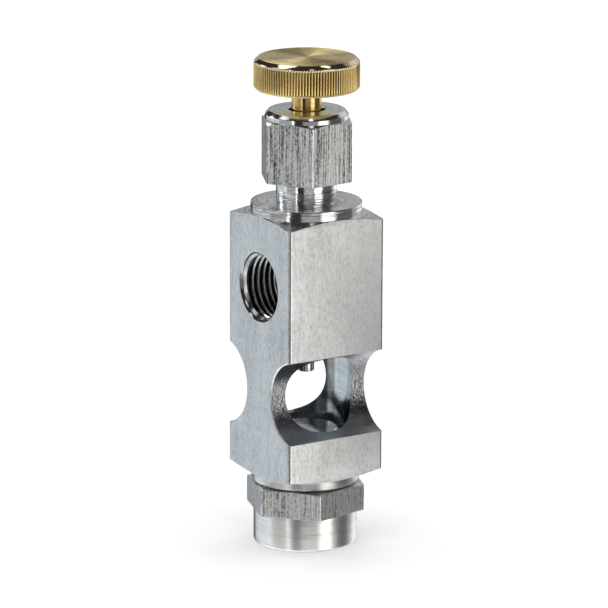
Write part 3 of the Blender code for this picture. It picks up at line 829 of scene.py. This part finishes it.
def make_nut(mats):
    """Hexagon with a bevelled collar, a stem hole and a plain bore for the neck."""
    top, low, reach = NUT_HIGH.z, NUT_LOW.z, NUT_FLATS
    nut = hexagon("nut_hexagon", NUT_FLATS, NUT_TURN, low - CUT, top + CUT)
    nut.data.materials.append(mats["nut"])

    collar_low = NUT_CONE_Z + (NUT_FLATS / 2 - COLLAR_RADIUS) * NUT_CONE
    profile = eased([(0.0, top), (COLLAR_RADIUS - COLLAR_BEVEL, top),
                     (COLLAR_RADIUS, top - COLLAR_BEVEL_HEIGHT),
                     (COLLAR_RADIUS, collar_low)], COLLAR_EDGE, 6)
    profile += [(reach, NUT_CONE_Z - (reach - NUT_FLATS / 2) * NUT_CONE),
                (reach, low), (0.0, low)]
    outside = lathe("outside", profile)
    outside.data.materials.append(mats["collar"])
    combine(nut, outside, "INTERSECT")

    bore = lathe("bore", [
        (0.0, top + CUT), (NUT_HOLE + NUT_HOLE_EDGE + CUT, top + CUT),
        (NUT_HOLE, top - NUT_HOLE_EDGE), (NUT_HOLE, NUT_ROOF), (NUT_THREAD, NUT_ROOF),
        (NUT_THREAD, low + NUT_MOUTH), (NUT_THREAD + NUT_MOUTH + CUT, low - CUT),
        (0.0, low - CUT)])
    bore.data.materials.append(mats["collar"])
    combine(nut, bore, "DIFFERENCE")
    return smooth(nut)


def knob_profile():
    """Top with a shallow dish, polished crown, rim, lower bevel and the stem's socket."""
    base, top, radius = KNOB_LOW.z, KNOB_HIGH.z, KNOB_RADIUS
    profile = [(0.0, top - 0.05 * MM), (0.9 * MM, top - 0.03 * MM)]
    profile += rounded((KNOB_FACE, top), (0.0, top), (radius, CROWN_BEVEL_LOW),
                       0.14 * MM, 5)
    profile += rounded((radius - 0.06 * MM, CROWN_BEVEL_LOW), (KNOB_FACE, top),
                       (radius, base), 0.25 * MM, 4)
    profile += [(radius, CROWN_LOW - 0.10 * MM), (radius, base + 0.45 * MM),
                (radius - 0.10 * MM, base + 0.28 * MM), (radius - 0.35 * MM, base)]
    return profile + [(KNOB_SOCKET, base), (KNOB_SOCKET, KNOB_ROOF), (0.0, KNOB_ROOF)]


def knurl_depth(radius, height):
    """Depth of the teeth there: none on the crown and the faces, less on the bevel."""
    if (height > CROWN_LOW or height < KNOB_LOW.z
            or radius < KNOB_RADIUS - 0.36 * MM):
        return 0.0
    return max(TOOTH_DEPTH - (KNOB_RADIUS - radius) * 0.55, 0.0)


def make_knob(mats):
    """Knurled disc: straight teeth between a polished crown and a lower bevel."""
    steps = TEETH * TOOTH_STEPS
    rows = []
    for radius, height in knob_profile():
        if radius <= 0.0:
            rows.append([(0.0, 0.0, height)])
            continue
        depth = knurl_depth(radius, height)
        row = []
        for i in range(steps):
            angle = math.tau * i / steps
            tooth = (i % TOOTH_STEPS) / TOOTH_STEPS * 2 - 1
            reach = radius - depth * tooth * tooth
            row.append((reach * math.cos(angle), reach * math.sin(angle), height))
        rows.append(row)
    knob = add_object("knob_knurled", surface_of_rows("knob_knurled", rows, steps))
    for look in ("knob", "knurl", "crown"):
        knob.data.materials.append(mats[look])
    for polygon in knob.data.polygons:
        reach, height = polygon.center.xy.length, polygon.center.z
        if reach > KNOB_RADIUS - 0.30 * MM and KNOB_LOW.z + 0.15 * MM < height < CROWN_LOW:
            polygon.material_index = 1
        elif reach > KNOB_FACE - 0.05 * MM and height >= CROWN_LOW:
            polygon.material_index = 2
    return smooth(knob)


def make_stem(mats):
    """Stem with its thread in the body and the tapered needle below it."""
    low, high, pitch = STEM_LOW.z, STEM_HIGH.z, STEM_PITCH
    profile = [(0.0, high), (STEM_RADIUS, high),
               (STEM_RADIUS, STEM_THREAD_HIGH + 0.29 * MM)]
    count = int(STEM_THREAD_LENGTH / pitch)
    for k in range(count):
        z = STEM_THREAD_HIGH - pitch * k
        profile += [(STEM_CREST, z), (STEM_CREST, z - 0.15 * pitch),
                    (STEM_RADIUS - 0.1 * MM, z - 0.55 * pitch)]
    profile += [(NEEDLE_RADIUS, STEM_THREAD_HIGH - pitch * count),
                (NEEDLE_RADIUS, low + (NEEDLE_RADIUS - NEEDLE_TIP) / NEEDLE_TAPER),
                (NEEDLE_TIP, low), (0.0, low)]
    stem = lathe("stem_and_needle", profile, MEDIUM)
    stem.data.materials.append(mats["stem"])
    return smooth(stem)


def make_nozzle(mats):
    """Drip tube with a wider head in the body and the seat's hole through it."""
    tip, top = NOZZLE_LOW.z, NOZZLE_HIGH.z
    profile = [
        (NOZZLE_BORE, top), (NOZZLE_HEAD, top), (NOZZLE_HEAD, SHOULDER_Z),
        (NOZZLE_RADIUS, SHOULDER_Z), (NOZZLE_RADIUS, tip + NOZZLE_EDGE),
        (NOZZLE_RADIUS - NOZZLE_EDGE, tip), (NOZZLE_BORE, tip)]
    nozzle = ring_lathe("nozzle_tube", profile, COARSE)
    nozzle.data.materials.append(mats["nozzle"])
    return smooth(nozzle)


# ======================= stage ========================================================
VIEW_AZIMUTH = -33.106
VIEW_ELEVATION = 14.154
VIEW_ROLL = 0.215
VIEW_DISTANCE = 646.3 * MM
VIEW_LENS = 270.6
VIEW_SENSOR = 36.0
AIM_HEIGHT = 34.47 * MM
AIM_SHIFT = -0.28 * MM         # along the picture's right

COOL = (0.90, 0.98, 1.05)
WARM = (1.03, 1.0, 0.97)
PLAIN = (1.0, 1.0, 1.0)
SOFT = 6.0

# Soft boxes that the metals reflect: azimuths, heights, colour, strength and the width
# of the soft edge, in degrees. Azimuth 0 is the camera's side, and it grows to the
# picture's right. Where boxes overlap they add up.
SOFT_BOXES = (
    ((-200, 200), (-95, 95), PLAIN, 0.03, SOFT),      # all round
    ((-142, -86), (-40, 6), COOL, 0.71, SOFT),        # left: the bar's left face
    ((-124, -108), (14, 26), PLAIN, 3.0, 3.0),
    ((-8, 26), (-60, -20), PLAIN, 0.5, 3.0),          # by the camera
    ((-8, 26), (-20, 10), PLAIN, 0.26, 3.0),
    ((-116, -86), (58, 76), PLAIN, 1.6, 4.0),         # high: the knob's crown
    ((92, 104), (64, 72), PLAIN, 2.0, 3.0),
    ((128, 160), (8, 40), PLAIN, 0.25, SOFT),
    ((-200, -168), (58, 78), PLAIN, 0.8, SOFT),
    ((168, 200), (58, 78), PLAIN, 0.8, SOFT),
    ((-98, -76), (40, 58), PLAIN, 1.3, 4.0),
    ((-84, -44), (-36, 24), PLAIN, 0.38, SOFT),       # left of the camera
    ((-39, -36.5), (-60, 30), PLAIN, 2.4, 1.5),
    ((36, 58), (-36, 16), WARM, 1.79, 7.0),           # right: the bar's front face
    ((72, 102), (-36, 24), PLAIN, 0.08, SOFT),
    ((67, 80), (-46, -31), PLAIN, 1.7, 4.0),
    ((112, 152), (-36, 30), PLAIN, 0.34, SOFT),
    ((-200, 50), (-95, -38), PLAIN, 0.95, 10.0),      # below: the pale table
    ((-150, -86), (-95, -38), PLAIN, 0.40, 10.0),
    ((100, 200), (-95, -46), PLAIN, 1.0, 8.0),
    ((130, 200), (-44, -12), PLAIN, 0.8, SOFT),
    ((-200, -160), (-2, 26), PLAIN, 0.36, SOFT),      # behind: level faces
    ((160, 200), (-2, 26), PLAIN, 0.36, SOFT),
    ((-200, -158), (34, 52), PLAIN, 0.22, SOFT),      # behind: the bar's upper cone
    ((158, 200), (34, 52), PLAIN, 0.22, SOFT),
    ((-176, -162), (30, 46), PLAIN, 1.8, 4.0),
    ((14, 24), (54, 72), PLAIN, 3.0, 3.0),
)

CEILING_SIZE = 5.0
CEILING_POWER = 160.0
CEILING_HEIGHT = 3.0
FLOOR_RADIUS = 1.2
FLOOR_GLOW = 0.22


def make_camera():
    """Camera at the view's angles, aimed beside the model's axis."""
    a, e = math.radians(VIEW_AZIMUTH), math.radians(VIEW_ELEVATION)
    back = Vector((math.sin(a) * math.cos(e), -math.cos(a) * math.cos(e), math.sin(e)))
    right = Vector((math.cos(a), math.sin(a), 0.0))
    data = bpy.data.cameras.new("camera")
    data.lens = VIEW_LENS
    data.sensor_width = VIEW_SENSOR
    data.clip_start, data.clip_end = 0.05, 20.0
    camera = add_object("camera", data)
    camera.location = Vector((0, 0, AIM_HEIGHT)) + right * AIM_SHIFT + back * VIEW_DISTANCE
    camera.rotation_mode = "QUATERNION"
    roll = Quaternion((0, 0, 1), math.radians(VIEW_ROLL))
    camera.rotation_quaternion = (-back).to_track_quat("-Z", "Y") @ roll
    bpy.context.scene.camera = camera


class Sky:
    """World shader: soft boxes placed by azimuth from the view's own, and height."""

    def __init__(self):
        world = bpy.data.worlds.new("studio")
        bpy.context.scene.world = world
        world.use_nodes = True
        self.tree = world.node_tree
        self.out = self.tree.nodes["Background"]
        coords = self.tree.nodes.new("ShaderNodeTexCoord").outputs["Generated"]
        parts = self.tree.nodes.new("ShaderNodeSeparateXYZ")
        self.tree.links.new(coords, parts.inputs[0])
        x, y, z = parts.outputs
        a = math.radians(VIEW_AZIMUTH)
        front = self.math("SUBTRACT", self.math("MULTIPLY", x, math.sin(a)),
                          self.math("MULTIPLY", y, math.cos(a)))
        right = self.math("ADD", self.math("MULTIPLY", x, math.cos(a)),
                          self.math("MULTIPLY", y, math.sin(a)))
        self.azimuth = self.math("ARCTAN2", right, front)
        self.height = self.math("ARCSINE", z)
        self.total = None

    def math(self, operation, first, second=None, clamp=False):
        return math_node(self.tree, operation, first, second, clamp)

    def vector_math(self, operation):
        node = self.tree.nodes.new("ShaderNodeVectorMath")
        node.operation = operation
        return node

    def window(self, value, low, high, soft):
        """1 between low and high, falling to 0 over `soft` on each side; radians."""
        rise = self.math("DIVIDE", self.math("SUBTRACT", value, low - soft), soft, True)
        fall = self.math("DIVIDE", self.math("SUBTRACT", high + soft, value), soft, True)
        return self.math("MULTIPLY", rise, fall)

    def box(self, azimuths, heights, colour, strength, soft):
        """Add one soft box; its angles are in degrees."""
        soft = math.radians(soft)
        a0, a1 = (math.radians(v) for v in azimuths)
        h0, h1 = (math.radians(v) for v in heights)
        mask = self.math("MULTIPLY", self.window(self.azimuth, a0, a1, soft),
                         self.window(self.height, h0, h1, soft))
        lit = self.vector_math("SCALE")
        lit.inputs[0].default_value = tuple(c * strength for c in colour)
        self.tree.links.new(mask, lit.inputs["Scale"])
        if self.total is None:
            self.total = lit.outputs[0]
            return
        add = self.vector_math("ADD")
        self.tree.links.new(self.total, add.inputs[0])
        self.tree.links.new(lit.outputs[0], add.inputs[1])
        self.total = add.outputs[0]

    def done(self):
        """Light the metals' reflections only: the ceiling lamp lights what is matt."""
        self.tree.links.new(self.total, self.out.inputs["Color"])
        bpy.context.scene.world.cycles_visibility.diffuse = False


def make_light():
    """Soft boxes for the metals and a wide ceiling lamp for the floor."""
    sky = Sky()
    for soft_box in SOFT_BOXES:
        sky.box(*soft_box)
    sky.done()
    lamp = bpy.data.lights.new("ceiling", "AREA")
    lamp.size = CEILING_SIZE
    lamp.energy = CEILING_POWER
    ceiling = add_object("ceiling", lamp)
    ceiling.location = (0.0, 0.0, CEILING_HEIGHT)
    ceiling.visible_glossy = False


def make_floor():
    """Pale paper that the metals don't reflect."""
    bpy.ops.mesh.primitive_circle_add(vertices=COARSE, radius=FLOOR_RADIUS,
                                      fill_type="NGON")
    floor = bpy.context.object
    floor.name = "floor"
    n = Nodes("floor_paper")
    fibre = n.grain(60, 60, 3, 0.5)
    n.link(n.ramp(fibre, [(0.3, (0.92, 0.92, 0.92)), (0.7, (0.94, 0.94, 0.94))]),
           n.shader.inputs["Base Color"])
    n.shader.inputs["Roughness"].default_value = 1.0
    n.shader.inputs["Specular IOR Level"].default_value = 0.0
    n.shader.inputs["Emission Color"].default_value = (*WHITE, 1.0)
    n.shader.inputs["Emission Strength"].default_value = FLOOR_GLOW
    floor.data.materials.append(n.material)
    floor.visible_glossy = False


# ======================= put together =================================================
def place(piece, body, slot, *nodes):
    """Put a piece on its body in place of the CAD nodes; slot is not used."""
    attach(piece, body)
    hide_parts(*nodes)


def main():
    """Six pieces in place of CAD nodes, materials for the other five, and the stage."""
    mats = make_materials()
    place(make_body(mats), "valve", "body_aluminium", "valve_body")
    place(make_outlet(mats), "valve", "fitting_aluminium", "outlet_fitting")
    place(make_nut(mats), "valve", "nut_aluminium", "packing_nut")
    place(make_nozzle(mats), "valve", "nozzle_steel", "drip_nozzle")
    place(make_stem(mats), "needle", "stem_brass", "needle_stem")
    place(make_knob(mats), "knob", "knob_brass", "knob")
    for node, look in (("outlet_o_ring", "rubber"), ("packing_washer", "gland"),
                       ("stem_packing_1", "packing"), ("stem_packing_2", "packing"),
                       ("gland_follower", "gland")):
        cad = frame["nodes"][node]
        cad.data.materials.clear()
        cad.data.materials.append(mats[look])
    make_camera()
    make_light()
    make_floor()
    bpy.context.scene.view_settings.view_transform = "Standard"


main()
